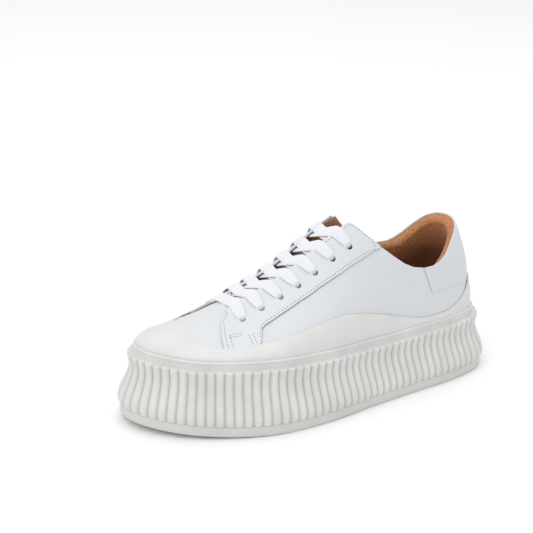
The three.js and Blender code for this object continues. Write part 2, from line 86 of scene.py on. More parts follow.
def outline(u):
    """Point and outward direction of the closed outline; u runs toe, outer side, heel, inner."""
    lateral = np.column_stack([LAST["lat_x"], LAST["lat_y"]])
    medial = np.column_stack([LAST["med_x"], LAST["med_y"]])[SECTIONS - 1:0:-1]
    points = np.vstack([lateral, medial])
    place = (np.asarray(u, float) % 1) * len(points)
    first = np.floor(place).astype(int)
    f = (place - first)[..., None]
    a, b, c, d = (points[(first + k) % len(points)] for k in (-1, 0, 1, 2))
    slope = 0.5 * (c - a + 2 * f * (2 * a - 5 * b + 4 * c - d) + 3 * f * f * (3 * (b - c) + d - a))
    out = np.stack([slope[..., 1], -slope[..., 0]], -1)
    return smooth_through(a, b, c, d, f), out / np.linalg.norm(out, axis=-1, keepdims=True)


def column(name, u):
    """A row of LAST at u, mirrored so that both sides of the shoe read the same value."""
    values = np.array(LAST[name])
    side = np.asarray(u, float) % 1
    place = 2 * np.minimum(side, 1 - side) * SECTIONS
    first = np.minimum(np.floor(place).astype(int), SECTIONS - 1)
    a, b, c, d = (values[SECTIONS - abs(SECTIONS - abs(first + k))] for k in (-1, 0, 1, 2))
    return smooth_through(a, b, c, d, place - first)


def toe_spring(y):
    """Height of the floor line: flat to the ball, then a parabola up to the toe."""
    return TOE_SPRING["rise"] * (np.maximum(TOE_SPRING["start"] - y, 0) / TOE_SPRING["run"]) ** 2


def flare(out_y):
    """How far the foot of the wall stands out: side value, blended to toe or heel by direction."""
    end = np.where(out_y < 0, FLARE["toe"], FLARE["heel"])
    return FLARE["side"] + (end - FLARE["side"]) * out_y ** 2


def gone_along(path):
    """Length gone at each point of a path."""
    return np.concatenate([[0], np.cumsum(np.linalg.norm(np.diff(path, axis=0), axis=1))])


def even_stations(count):
    """count values of u at equal steps along each side of the outline, the toe tip first."""
    sides = []
    for start in (0.0, 0.5):
        fine = np.linspace(start, start + 0.5, 1201)
        length = gone_along(outline(fine)[0])
        sides.append(np.interp(np.arange(count // 2) * length[-1] / (count // 2), length, fine))
    return np.concatenate(sides)


def ring(u, outset, height):
    """Closed line of points: the outline moved out by outset, at a height."""
    point, out = outline(u)
    flat = point + out * np.broadcast_to(outset, np.shape(u))[..., None]
    return np.concatenate([flat, np.broadcast_to(height, np.shape(u))[..., None]], -1)


def ladder(loop, across):
    """Rows straight across the shoe from one side of a loop to the other, toe to heel."""
    half = len(loop) // 2
    lateral = loop[:half + 1]
    medial = loop[-np.arange(half + 1)]
    share = np.linspace(0, 1, across)[None, :, None]
    return lateral[:, None] * (1 - share) + medial[:, None] * share


# The outline's own place, found from the outsole's box, so that the looks sit on the solids.
band_line = ring(even_stations(RIBS), flare(outline(even_stations(RIBS))[1][:, 1]), 0)
low, high = (np.array(corner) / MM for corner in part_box("outsole"))
SHIFT = (low + high) / 2 - (band_line.min(0) + band_line.max(0)) / 2
SHIFT[2] = 0


def quads(rows, columns, around=False, along=False):
    """Corner numbers of a grid's four-sided faces; around and along close it on itself."""
    number = np.arange(rows * columns).reshape(rows, columns)
    if around:
        number = np.concatenate([number, number[:, :1]], 1)
    if along:
        number = np.concatenate([number, number[:1]], 0)
    return np.stack([number[:-1, :-1], number[:-1, 1:], number[1:, 1:], number[1:, :-1]],
                    -1).reshape(-1, 4)


def build(name, points, faces, materials, marks=None, sharp=40, places=None):
    """Mesh object from points in millimetres and faces; doubles are merged, faces turned outwards.
    marks is one value a point for the attribute 'mark', places a UV pair a point in millimetres."""
    import bmesh
    mesh = bpy.data.meshes.new(name)
    mesh.from_pydata(((np.reshape(points, (-1, 3)) + SHIFT) * MM).tolist(), [],
                     faces.tolist() if isinstance(faces, np.ndarray) else faces)
    if marks is not None:
        mesh.attributes.new("mark", "FLOAT", "POINT").data.foreach_set(
            "value", np.asarray(marks, np.float32).ravel())
    if places is not None:
        layer = mesh.uv_layers.new(name="UVMap")
        corner = np.zeros(len(mesh.loops), int)
        mesh.loops.foreach_get("vertex_index", corner)
        layer.data.foreach_set("uv", np.reshape(places, (-1, 2))[corner].astype(np.float32).ravel())
    work = bmesh.new()
    work.from_mesh(mesh)
    bmesh.ops.remove_doubles(work, verts=work.verts, dist=2e-6)
    bmesh.ops.dissolve_degenerate(work, edges=work.edges, dist=1e-7)
    bmesh.ops.recalc_face_normals(work, faces=work.faces)
    work.to_mesh(mesh)
    work.free()
    mesh.polygons.foreach_set("use_smooth", np.ones(len(mesh.polygons), bool))
    mesh.set_sharp_from_angle(angle=math.radians(sharp))
    piece = bpy.data.objects.new(name, mesh)
    bpy.context.scene.collection.objects.link(piece)
    for material in materials:
        mesh.materials.append(material)
    return piece


def plain(name, settings):
    """Material with its values set on the main shader; returns it, its nodes and that shader."""
    material = bpy.data.materials.new(name)
    material.use_nodes = True
    tree = material.node_tree
    shader = tree.nodes["Principled BSDF"]
    fill(tree, shader, settings)
    return material, tree, shader


def fill(tree, made, inputs):
    """Sets a node's inputs: another node's output is linked, and a plain value is written."""
    for name, value in inputs.items():
        if isinstance(value, bpy.types.NodeSocket):
            tree.links.new(value, made.inputs[name])
        else:
            made.inputs[name].default_value = value


def node(tree, kind, inputs, output, **settings):
    """Adds a node, sets it and returns one of its outputs."""
    made = tree.nodes.new("ShaderNode" + kind)
    for name, value in settings.items():
        setattr(made, name, value)
    fill(tree, made, inputs)
    return made.outputs[output]


def blended(tree, share, first, second):
    """Colour between two, each a colour's three values or a node's output."""
    first, second = ((*c, 1) if isinstance(c, (tuple, list)) else c for c in (first, second))
    return node(tree, "Mix", {"Factor": share, "A": first, "B": second}, "Result",
                data_type="RGBA")


def scaled(colour, share):
    return [share * value for value in colour]


def object_place(tree):
    return node(tree, "TexCoord", {}, "Object")


def marked(tree):
    return node(tree, "Attribute", {}, "Fac", attribute_name="mark")


def noise(tree, scale, **more):
    inputs = {"Vector": object_place(tree), "Scale": scale, **more}
    return node(tree, "TexNoise", inputs, "Fac")


def bumped(tree, height, strength, distance, **more):
    inputs = {"Strength": strength, "Distance": distance, "Height": height, **more}
    return node(tree, "Bump", inputs, "Normal")


def rubber(name, crest, hollow, roughness, grain):
    """Moulded rubber: two near tones clouded by noise, the darker one where 'mark' is low as
    painted shade, and a fine moulded grain in the bump."""
    material, tree, shader = plain(name, {"Roughness": roughness, "Specular IOR Level": 0.4})
    depth = blended(tree, marked(tree), hollow, crest)
    cloud = node(tree, "MapRange", {"From Min": 0.35, "From Max": 0.75, "To Max": 0.35,
                                    "Value": noise(tree, 55, Detail=4)}, "Result")
    fine = bumped(tree, noise(tree, grain, Detail=3), 0.25, 0.0002)
    fill(tree, shader, {"Base Color": blended(tree, cloud, depth, scaled(hollow, 0.93)),
                        "Normal": fine})
    return material


outsole_rubber = rubber("outsole_rubber", (0.64, 0.63, 0.60), (0.55, 0.54, 0.51), 0.62, 700)


def lug_depth(x, y, inset):
    """Height of the underside above the floor line: 0 on a lug, the groove's depth between lugs,
    with soft walls 0.5 mm wide; chevrons 0.5 mm deep cross each lug."""
    soft = 0.5
    groove = np.zeros_like(y)
    for centre in LUG_GROOVES:
        wall = (LUG["groove"] / 2 - np.abs(y - centre)) / soft
        groove = np.maximum(groove, np.clip(wall, 0, 1))
    groove = np.maximum(groove, np.clip(np.minimum(y - ARCH[0], ARCH[1] - y) / soft, 0, 1))
    chevron = np.abs((y + 0.35 * np.abs(x) + 4) % 3.5 - 1.75)
    fine = 0.5 * np.clip((0.5 - chevron) / 0.3, 0, 1)
    inside = np.clip((inset - LUG["rim"]) / soft, 0, 1)
    return inside * np.maximum(LUG["depth"] * groove, fine)


stations = even_stations(RIBS * 4)
edge, out = outline(stations)
foot = flare(out[:, 1])
floor_line = toe_spring(edge[:, 1])
# its lower corner is a quarter round, the band swells and leans in a little, and its top is rounded
band_rows = [ring(stations, foot - BAND["corner"] * (1 - np.sin(a)),
                  floor_line + BAND["corner"] * (1 - np.cos(a)))
             for a in np.linspace(0, np.pi / 2, 5)]
band_rows += [ring(stations, foot + BAND["swell"] * np.sin(np.pi * f) - BAND["lean"] * f,
                   floor_line + BAND["corner"] + f * (BAND["flat_to"] - BAND["corner"]))
              for f in (0.25, 0.5, 0.75, 1)]
band_rows += [ring(stations, foot - BAND["lean"] - by, floor_line + BAND["flat_to"] + up)
              for by, up in ((0.15, 0.5), (0.7, 0.95), (1.6, 1.0))]
band_faces = quads(len(band_rows), len(stations), around=True)

tread = ladder(band_rows[0], 81)
fine_rows = np.linspace(0, 1, 560)
sampled = np.linspace(0, 1, len(tread))
tread = np.stack([[np.interp(fine_rows, sampled, tread[:, c, k]) for k in range(3)]
                  for c in range(tread.shape[1])], 0).transpose(2, 0, 1)
# distance from the rim, straight across and from the toe and heel ends
width = np.linalg.norm(tread[:, -1] - tread[:, 0], axis=-1)[:, None]
share = np.linspace(0, 1, tread.shape[1])[None]
ends = np.minimum(tread[..., 1] - tread[..., 1].min(), tread[..., 1].max() - tread[..., 1])
inset = np.minimum(np.minimum(share, 1 - share) * width, ends) + BAND["corner"]
tread[..., 2] += lug_depth(tread[..., 0], tread[..., 1], inset)
cap = ladder(band_rows[-1], 3)
count = len(band_rows) * len(stations)
faces = np.vstack([band_faces, quads(*tread.shape[:2]) + count,
                   quads(*cap.shape[:2]) + count + tread.shape[0] * tread.shape[1]])
points = np.vstack([np.concatenate(band_rows), tread.reshape(-1, 3), cap.reshape(-1, 3)])
outsole = build("outsole_slab", points, faces, [outsole_rubber], np.ones(len(points)), sharp=50)
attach(outsole, "root")
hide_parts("outsole")


# ---------------------------------------------------------------- platform wall
# The platform is a moulded wall of upright ribs that narrows at its waist and flares to the floor.
# A scalloped lip, a smooth steep band and a rounded bead finish its top, where the rand is bonded.

RIB_DEPTH = 1.4
CUP_INSET = 6.5
BEAD_RISE = 6.7
WALL = {"up": [0, 0.1, 0.27, 0.5, 0.74, 1], "flare": [1, 1.05, 0.82, 0.32, 0, 0],
        "inward": [0.6, 0, 0, 0.5, 1.1, 0]}
# Set-in from the rib tops, rise above them, and how much of the rib's crest is left there.
LIP_AND_BEAD = [
    (0.10, 0.30, 1.0), (0.45, 0.62, 0.95), (1.0, 0.75, 0.8), (1.7, 0.65, 0.4), (2.3, 0.7, 0.1),
    (2.6, 1.3, 0), (2.8, 2.6, 0), (3.0, 4.2, 0), (3.05, 4.8, 0), (2.75, 5.1, 0), (2.55, 5.55, 0),
    (2.6, 6.05, 0), (2.85, 6.45, 0), (3.25, 6.66, 0), (3.8, 6.7, 0), (6.2, 6.7, 0), (6.2, -7.0, 0),
]

wall_rubber = rubber("wall_rubber", (0.70, 0.69, 0.675), (0.50, 0.485, 0.455), 0.55, 500)


def through(x, xs, ys):
    """Smooth curve through a few values: cubic pieces whose slopes are the neighbours' mean."""
    xs, ys = np.array(xs, float), np.array(ys, float)
    slope = np.gradient(ys, xs)
    i = np.clip(np.searchsorted(xs, x) - 1, 0, len(xs) - 2)
    h = xs[i + 1] - xs[i]
    t = (x - xs[i]) / h
    return ((1 + 2 * t) * (1 - t) ** 2 * ys[i] + t * (1 - t) ** 2 * h * slope[i]
            + t * t * (3 - 2 * t) * ys[i + 1] + t * t * (t - 1) * h * slope[i + 1])


around = 10
stations = even_stations(RIBS * around)
edge, out = outline(stations)
foot = flare(out[:, 1])
floor_line = toe_spring(edge[:, 1])
rib_top = column("rib_top", stations)
# A rib is a broad round crest; the groove between two ribs is narrow.
across_rib = np.abs((np.arange(len(stations)) / around + 0.5) % 1 - 0.5) * 2
crest = 1 - across_rib ** 2.4
wall_foot = BAND_HEIGHT + 0.05 + floor_line
# 'mark' paints shade on the wall: 0 at its foot against the outsole, and low in the grooves between
# the ribs
rows, marks = [ring(stations, foot - 2.5, wall_foot)], [np.zeros(len(stations))]
for up in np.linspace(0, 1, 30):
    set_in = through(up, WALL["up"], WALL["inward"])
    spread = through(up, WALL["up"], WALL["flare"])
    rows.append(ring(stations, foot * spread - set_in + RIB_DEPTH * crest,
                     wall_foot + (rib_top - wall_foot) * up))
    marks.append(0.12 + 0.88 * crest ** 0.7)
for inward, rise, left in LIP_AND_BEAD:
    rows.append(ring(stations, RIB_DEPTH * crest * left - inward, rib_top + rise))
    # painted shade in the notches of the lip, and a little more on the steep band under the bead
    marks.append(1 - left * 0.5 * (1 - crest) - (0.08 if 2.5 < inward < 3.04 else 0))
wall = np.array(rows)
under, over = ladder(wall[0], 3), ladder(wall[-1], 3)
count = wall.shape[0] * wall.shape[1]
size = under.shape[0] * under.shape[1]
faces = np.vstack([quads(*wall.shape[:2], around=True), quads(*under.shape[:2]) + count,
                   quads(*over.shape[:2]) + count + size])
points = np.vstack([wall.reshape(-1, 3), under.reshape(-1, 3), over.reshape(-1, 3)])
marks = np.concatenate([np.array(marks).ravel(), np.full(2 * size, 0.5)])
platform = build("platform_wall", points, faces, [wall_rubber], marks, sharp=60)
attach(platform, "root")
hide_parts("midsole")


# ---------------------------------------------------------------- footbed
# The footbed is a foam sock covered in tan suede. It lies loose on the floor of the cup, and its
# edge turns up a little against the lining.

FOOTBED = {"inset": 9.4, "top": -2.7, "thick": 3.9, "turn_up": 2.6}


def suede(name, light, dark):
    """Suede: two tones mixed by noise, painted shade where 'mark' is high, a fibrous bump and a
    sheen.
    """
    material, tree, shader = plain(name, {
        "Roughness": 0.92, "Specular IOR Level": 0.15, "Sheen Weight": 0.35,
        "Sheen Roughness": 0.45, "Sheen Tint": (0.95, 0.72, 0.55, 1)})
    nap = noise(tree, 650, Detail=6, Roughness=0.7)
    tone = tree.nodes.new("ShaderNodeValToRGB")
    for stop, place, colour in zip(tone.color_ramp.elements, (0.36, 0.64), (dark, light)):
        stop.position, stop.color = place, (*colour, 1)
    fill(tree, tone, {"Fac": nap})
    # painted shade: the nap is darkened towards a third of its dark tone where 'mark' is high
    nap_with_painted_shade = blended(tree, marked(tree), tone.outputs["Color"], scaled(dark, 0.35))
    fill(tree, shader, {"Base Color": nap_with_painted_shade, "Normal": bumped(tree, nap, 0.5, 0.0003)})
    return material


tan_suede = suede("tan_suede", (0.60, 0.285, 0.135), (0.36, 0.145, 0.062))

stations = even_stations(360)
rib_top = column("rib_top", stations)
loop = ring(stations, -FOOTBED["inset"], rib_top + FOOTBED["top"])
top = ladder(loop, 49)
across = np.abs(np.linspace(-1, 1, 49))[None]
top[..., 2] += FOOTBED["turn_up"] * across ** 6
bottom = ladder(loop, 49)[:, ::-1]
bottom[..., 2] -= FOOTBED["thick"]
bed = np.concatenate([top, bottom], 1)
footbed = build("footbed", bed, quads(*bed.shape[:2], around=True), [tan_suede], sharp=50)
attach(footbed, "root")
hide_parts("insole")


# ---------------------------------------------------------------- vamp and quarters
# The upper is smooth white calf leather cut in panels, lasted over the foot form and set into the
# cup of the sole. This is its main skin, from the toe round both sides to the heel.

SKIN = 0.9
SKIN_FOOT = 4.0
CROWN = 13.0
COLLAR_Y = [-40, 0, 12, 20, 30, 40, 50, 58, 66, 76, 85, 91, 97, 102, 106, 111, 116, 121, 140]
COLLAR_Z = [190, 149, 135, 127.5, 117.2, 107.4, 98.8, 92.8, 88.8, 86.4, 86.2, 88, 91.6, 96.6, 100.6,
            105.8, 109.6, 111.6, 112]
CORNER = 4.0
THROAT = {"front": -74.0, "round": 7.0, "half": 8.9, "spread": 0.006, "back": 50.0}


def on_last(u, t):
    """Outer face of the leather: a cubic curve from the bead, t = 0, to the ridge, t = 1, whose
    handles come from LAST; the sharp ridge is rounded to a parabola within CROWN of the spine."""
    u, t = np.broadcast_arrays(np.asarray(u, float), np.asarray(t, float))
    point, out = outline(u)
    start = point - out * CUP_INSET
    spine = np.stack([column("spine_x", u), column("spine_y", u)], -1)
    span = np.linalg.norm(spine - start, axis=-1)
    s = 1 - t
    reach, ridge, rise_2 = column("reach", u), column("ridge", u), column("rise_2", u)
    inward = 3 * t * s * s * -column("bulge", u) + 3 * t * t * s * reach * span + t ** 3 * span
    rise = 3 * t * s * s * column("rise_1", u) + 3 * t * t * s * rise_2 + t ** 3 * ridge
    steep = np.maximum((ridge - rise_2) / (span * (1 - reach)), 0)
    near = np.clip(1 - np.abs(span - inward) / CROWN, 0, 1)
    rise = rise - steep * CROWN / 2 * near ** 2
    flat = start + (spine - start) * (inward / span)[..., None]
    return np.concatenate([flat, (column("rib_top", u) + BEAD_RISE + rise)[..., None]], -1)


def unit(vectors):
    return vectors / np.linalg.norm(vectors, axis=-1, keepdims=True)


def facing_out(u, t):
    """Outward direction of the leather, from two short chords; at the ridge both sides' mean."""
    small = 0.001
    u, t = np.broadcast_arrays(np.asarray(u, float), np.asarray(t, float))

    def one_side(u):
        along = on_last(u + small, t) - on_last(u - small, t)
        up = on_last(u, np.minimum(t + small, 1)) - on_last(u, np.maximum(t - small, 0))
        return unit(np.cross(along, up))

    straight = one_side(u)
    mean = unit(straight + one_side(1 - u))
    return np.where((t > 0.9995)[..., None], mean, straight)


def lifted(u, t, lift):
    """Place above the leather's outer face by lift millimetres, along its outward direction."""
    return on_last(u, t) + facing_out(u, t) * np.broadcast_to(lift, np.shape(t))[..., None]


def cut_away(u, t, throat):
    """Positive where the leather is cut away, the smooth larger of collar height and throat."""
    point = on_last(u, t)
    over_collar = point[..., 2] - np.interp(point[..., 1], COLLAR_Y, COLLAR_Z)
    behind = point[..., 1] - throat["front"]
    gap = (throat["half"] + throat["spread"] * (point[..., 1] - THROAT["front"])) * np.sqrt(
        np.clip(behind / throat["round"], 0, 1))
    gap = np.where((behind < 0) | (point[..., 1] > throat["back"]), -throat["half"], gap)
    in_throat = gap - np.abs(point[..., 0] - column("spine_x", u))
    overlap = np.maximum(CORNER - np.abs(over_collar - in_throat), 0)
    return np.maximum(over_collar, in_throat) + overlap ** 2 / (4 * CORNER)


def leather_edge(u, throat):
    """Where the curve at u first meets an opening, found by halving, or 1 where it is closed."""
    steps = np.linspace(0.1, 0.999, 180)
    cut = cut_away(u[:, None], steps[None], throat) > 0
    first = np.where(cut.any(1), cut.argmax(1), -1)
    low = steps[np.maximum(first - 1, 0)]
    high = steps[np.maximum(first, 1)]
    for _ in range(24):
        middle = (low + high) / 2
        over = cut_away(u, middle, throat) > 0
        low, high = np.where(over, low, middle), np.where(over, middle, high)
    return np.where(first < 0, 1.0, low)


def dents(u, t):
    """Soft troughs and ridges of worn-in leather: each is a bell of some depth round a line
    from one place of the skin to another, given by its height and place along the shoe."""
    point = on_last(u, t)
    y, z = point[..., 1], point[..., 2]
    lateral = (np.asarray(u) % 1) < 0.5
    lift = np.zeros(np.shape(t))
    # from y, from z, to y, to z, half width, depth, on the outer side
    for y0, z0, y1, z1, wide, deep, outer in CREASES:
        run = np.hypot(y1 - y0, z1 - z0)
        ahead = ((y - y0) * (y1 - y0) + (z - z0) * (z1 - z0)) / run
        aside = ((y - y0) * (z1 - z0) - (z - z0) * (y1 - y0)) / run
        past = np.maximum(np.maximum(-ahead, ahead - run), 0)
        bell = np.exp(-(aside / wide) ** 2 - (past / (1.5 * wide)) ** 2)
        lift = lift + deep * bell * (lateral == outer)
    return lift


CREASES = [
    (34, 92, 62, 74, 7, -1.3, True), (48, 98, 74, 80, 6, 0.6, True),
    (92, 76, 112, 70, 8, -0.8, True), (96, 92, 112, 88, 7, 0.4, True),
    (20, 80, 40, 66, 9, -0.5, True), (34, 92, 62, 74, 8, -0.9, False),
    (90, 78, 112, 72, 8, -0.7, False), (10, 84, 34, 70, 9, 0.5, False),
]


def leather(name, light, shade):
    """Smooth calf: near-white clouded softly, grey at a cut edge where 'mark' is high, with a
    painted seam shadow where it runs past 1, pores and fine creases in the bump, a low gloss."""
    material, tree, shader = plain(name, {"Specular IOR Level": 0.42})
    cloud = noise(tree, 22, Detail=3)
    cut = blended(tree, marked(tree), blended(tree, cloud, light, shade), CUT_EDGE_AND_SEAM_SHADOW)
    gloss = node(tree, "MapRange", {"To Min": 0.36, "To Max": 0.52, "Value": cloud}, "Result")
    pores = node(tree, "TexVoronoi", {"Vector": object_place(tree), "Scale": 1300}, "Distance")
    fine = bumped(tree, pores, 0.12, 0.0001)
    broad = bumped(tree, noise(tree, 320, Detail=5), 0.16, 0.0002, Normal=fine)
    fill(tree, shader, {"Base Color": cut, "Roughness": gloss, "Normal": broad})
    return material


# dark grey of a raw cut edge; where a mark runs past 1 it also paints the shadow line along a
# lapped seam
CUT_EDGE_AND_SEAM_SHADOW = (0.10, 0.105, 0.11)
white_leather = leather("white_leather", (0.665, 0.675, 0.69), (0.635, 0.65, 0.67))


def rim(u, t, outer, inner, steps):
    """Half round between two faces of a sheet: rows at equal angles about the edge's middle."""
    small = 0.002
    up = unit(on_last(u, t) - on_last(u, t - small))
    out = facing_out(u, t)
    middle = on_last(u, t) + out * np.broadcast_to((outer + inner) / 2, np.shape(t))[..., None]
    radius = np.broadcast_to((outer - inner) / 2, np.shape(t))[..., None]
    return [middle + up * radius * np.sin(a) + out * radius * np.cos(a)
            for a in np.linspace(0, np.pi, steps + 2)[1:-1]]


def up_the_wall(count, top):
    """Rows from the bead to top, closer near the top: u and t of each place, and its share."""
    share = np.sin(np.linspace(0, np.pi / 2, count))[:, None]
    t = share * top[None]
    return np.broadcast_to(skin_u, t.shape), t, share


HIDDEN_THROAT = dict(THROAT, front=-60.0, half=10.4)
skin_columns = 720
skin_u = np.arange(skin_columns) / skin_columns
skin_edge = leather_edge(skin_u, HIDDEN_THROAT)
closed = skin_edge == 1


def open_at_ridge(grid, first, last):
    """Faces of a sheet round the shoe, without those of its rim where both sides meet."""
    faces = quads(*grid.shape[:2], around=True, along=True)
    row, at = faces[:, 0] // skin_columns, faces[:, 0] % skin_columns
    over_ridge = closed[at] & closed[(at + 1) % skin_columns]
    return faces[~(over_ridge & (row >= first) & (row < last))]


u, t, _ = up_the_wall(46, skin_edge)
cup_floor = column("rib_top", skin_u) - SKIN_FOOT
outer = [ring(skin_u, -CUP_INSET, cup_floor)] + list(lifted(u, t, dents(u, t)))
inner = list(lifted(u, t, dents(u, t) - SKIN))[::-1] + [ring(skin_u, -CUP_INSET - SKIN, cup_floor)]
turn = rim(skin_u, skin_edge, dents(skin_u, skin_edge), dents(skin_u, skin_edge) - SKIN, 4)
skin = np.array(outer + turn + inner)
faces = open_at_ridge(skin, len(outer) - 1, len(outer) + len(turn))
vamp = build("vamp_and_quarters", skin, faces, [white_leather], sharp=60)


# ---------------------------------------------------------------- lining
# Tan suede lines the whole upper. Foam under it fattens the collar at the heel, and along the
# throat it is folded under the facings. It is stitched to the leather at the top.

LINING = {"thick": 1.3, "foam": 5.2, "fat_from_y": 55, "fat_over_y": 40, "fat_from_z": 62,
          "fat_over_z": 22, "roll": 4.0, "behind": 0.05, "foot": 3.5, "foot_inset": 2.2}


def padding(u, t):
    """Thickness of the lining: thin low down and along the facings, fat at the back of the collar."""
    point = on_last(u, t)
    heel = np.clip((point[..., 1] - LINING["fat_from_y"]) / LINING["fat_over_y"], 0, 1)
    high = np.clip((point[..., 2] - LINING["fat_from_z"]) / LINING["fat_over_z"], 0, 1)
    return LINING["thick"] + LINING["foam"] * heel ** 2 * high


# The padding starts thin at the seam with the leather and rounds into its full roll.
lining_top = skin_edge - 0.0035
u, t, _ = up_the_wall(40, lining_top)
away = np.linalg.norm(on_last(u, t) - on_last(skin_u, lining_top)[None], axis=-1)
roll = np.sqrt(np.clip(1 - (1 - np.clip(away / LINING["roll"], 0, 1)) ** 2, 0.02, 1))
back = dents(u, t) - SKIN - LINING["behind"]
cup_floor = column("rib_top", skin_u) - LINING["foot"]
outer = [ring(skin_u, -CUP_INSET - SKIN - LINING["behind"], cup_floor)] + list(lifted(u, t, back))
inner = (list(lifted(u, t, back - padding(u, t) * roll))[::-1]
         + [ring(skin_u, -CUP_INSET - LINING["foot_inset"], cup_floor)])
sheet = np.array(outer + inner)
# painted shade: the nap is darker deep in the shoe, away from the collar
marks = np.clip((np.interp(sheet[..., 1], COLLAR_Y, COLLAR_Z) - 8 - sheet[..., 2]) / 30, 0, 0.8)
faces = open_at_ridge(sheet, len(outer) - 1, len(outer))
lining = build("lining", sheet, faces, [tan_suede], marks, sharp=60)
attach(lining, "root")


# ---------------------------------------------------------------- facings
# A facing is a strip of leather on each side, from the collar down beside the throat and forward
# to the rand. It lies on the vamp and quarter, its front corner free, and carries seven holes.

EYELET = {"radius": 2.3, "reach": 22.4, "narrows": 0.0215,
          "rows": [-61.7, -49.4, -36.0, -23.1, -10.7, 2.1, 14.5]}
# "off" is its gap to the vamp, "edge" the share of its thickness left at its edges.
FACING = {"thick": 1.25, "raise": 0.8, "from": 0.128, "to": 0.302, "off": 0.04, "edge": 0.75}
# The seam behind it, as places (u, t) of the last from the rand up to the collar.
FACING_SEAM_U = [0.12, 0.145, 0.158, 0.162, 0.17, 0.175, 0.192, 0.214, 0.236, 0.257, 0.279, 0.302]
FACING_SEAM_T = [0.28, 0.29, 0.3, 0.335, 0.51, 0.537, 0.565, 0.585, 0.58, 0.552, 0.542, 0.552]
# Its front edge leans back towards the throat.
FACING_FRONT_T = [0.318, 0.512, 0.713, 0.807]
FACING_FRONT_U = [0.128, 0.128, 0.131, 0.142]
OPEN_THROAT = dict(THROAT, front=-400.0)


def facing_places(p, q):
    """Map of the facing: p runs from its front edge to the collar, q from the seam to the throat.
    Returns u and t on the outer side of the last."""
    ruled = FACING["from"] + (FACING["to"] - FACING["from"]) * p
    line = np.linspace(0.118, 0.304, 400)
    edge = leather_edge(line, OPEN_THROAT)
    seam = np.interp(ruled, FACING_SEAM_U, FACING_SEAM_T)
    t = seam + (np.interp(ruled, line, edge) - seam) * q
    lean = np.interp(t, FACING_FRONT_T, FACING_FRONT_U) - FACING["from"]
    u = ruled + lean * np.clip(1 - p * 3.2, 0, 1) ** 1.5
    limit = np.interp(u, line, edge)
    return u, np.minimum(t, limit)


def facing_raise(p, q):
    """How far the facing stands off the vamp: only near its free front corner."""
    near_front = np.clip(1 - p / 0.22, 0, 1) ** 1.5
    return FACING["raise"] * near_front * np.clip((q - 0.35) / 0.5, 0, 1) ** 1.3


def eased(count):
    """0 to 1 in count steps that are fine at both ends: (1 - cos a) / 2."""
    return (1 - np.cos(np.linspace(0, np.pi, count))) / 2


def pillow(x, soft):
    """0 at both ends of 0..1 and 1 between, with a quarter round of width soft."""
    d = np.clip(np.minimum(x, 1 - x) / soft, 0, 1)
    return np.sqrt(1 - (1 - d) ** 2)


def sheet_piece(name, upper_side, lower_side, materials, sharp=50, dark=1.0):
    """Closed sheet from two grids of the same size, joined round their four edges; 'mark' is 0 on
    the upper side and dark on the lower one: grey cut edges on leather, painted shade under suede."""
    rows, columns = upper_side.shape[:2]
    loop = np.concatenate([upper_side, lower_side[:, ::-1]], 1)
    under = np.broadcast_to(dark, (rows, columns))[:, ::-1]
    marks = np.concatenate([np.zeros((rows, columns)), under], 1)
    faces = [quads(rows, 2 * columns, around=True)]
    for r in (0, rows - 1):
        first = r * 2 * columns + np.arange(columns - 1)
        other = r * 2 * columns + 2 * columns - 1 - np.arange(columns - 1)
        faces.append(np.stack([first, first + 1, other - 1, other], -1))
    return build(name, loop, np.vstack(faces), materials, marks, sharp=sharp)


def mirrored(u, side):
    return u if side > 0 else 1 - u


def over_foot(spine_y, across, lift):
    """Place over the foot: across is the distance from the spine, positive on the outer side, and
    lift the height above the leather. The crossing is found by halving."""
    spine_y, across, lift = np.broadcast_arrays(*(np.asarray(v, float)
                                                  for v in (spine_y, across, lift)))
    line = np.linspace(0, 0.5, 2001)
    u = np.interp(spine_y, column("spine_y", line), line)
    u = np.where(across >= 0, u, 1 - u)
    spine = np.stack([column("spine_x", u), column("spine_y", u)], -1)
    low, high = np.zeros(u.shape), np.ones(u.shape)
    for _ in range(26):
        middle = (low + high) / 2
        far = np.linalg.norm(on_last(u, middle)[..., :2] - spine, axis=-1) > np.abs(across)
        low, high = np.where(far, middle, low), np.where(far, high, middle)
    t = np.where(np.abs(across) < 0.01, 1.0, low)
    out = facing_out(u, t)
    return on_last(u, t) + out * lift[..., None], out


def eyelet_reach(y):
    """Distance of a lace hole from the ridge; the two rows close in towards the collar."""
    return EYELET["reach"] - EYELET["narrows"] * (y - EYELET["rows"][0])


def thread_colour(name, colour, roughness):
    """Twisted thread: an even tone clouded by fine noise."""
    material, tree, shader = plain(name, {"Roughness": roughness})
    tone = blended(tree, noise(tree, 900), colour, scaled(colour, 0.8))
    fill(tree, shader, {"Base Color": tone})
    return material


HOLE_ROD = {"below": 7, "above": 5}


def hole_cutters():
    """Fourteen short rods, one through each lace hole, as one mesh."""
    sides = np.linspace(0, 2 * np.pi, 24, endpoint=False)
    points, faces = [], []
    for side in (1, -1):
        for y in EYELET["rows"]:
            centre, out = over_foot(y, side * eyelet_reach(y), 0)
            first = unit(np.cross(out, [0, 1, 0]))
            second = np.cross(out, first)
            circle = EYELET["radius"] * (np.cos(sides)[:, None] * first
                                         + np.sin(sides)[:, None] * second)
            start = sum(len(p) for p in points)
            points.append(np.vstack([centre + circle - HOLE_ROD["below"] * out,
                                     centre + circle + HOLE_ROD["above"] * out]))
            faces += (quads(2, 24, around=True) + start).tolist()
            faces += [[start + k for k in range(24)], [start + 24 + k for k in range(24)]]
    return build("hole_cutters", np.vstack(points), faces, [])


def punch(piece, cutters):
    """Cuts the holes and keeps the result as the piece's own mesh."""
    cut = piece.modifiers.new("holes", "BOOLEAN")
    cut.object, cut.solver = cutters, "EXACT"
    view = bpy.context.evaluated_depsgraph_get()
    mesh = bpy.data.meshes.new_from_object(piece.evaluated_get(view))
    piece.modifiers.clear()
    piece.data = mesh
    mesh.polygons.foreach_set("use_smooth", np.ones(len(mesh.polygons), bool))
    mesh.set_sharp_from_angle(angle=math.radians(40))


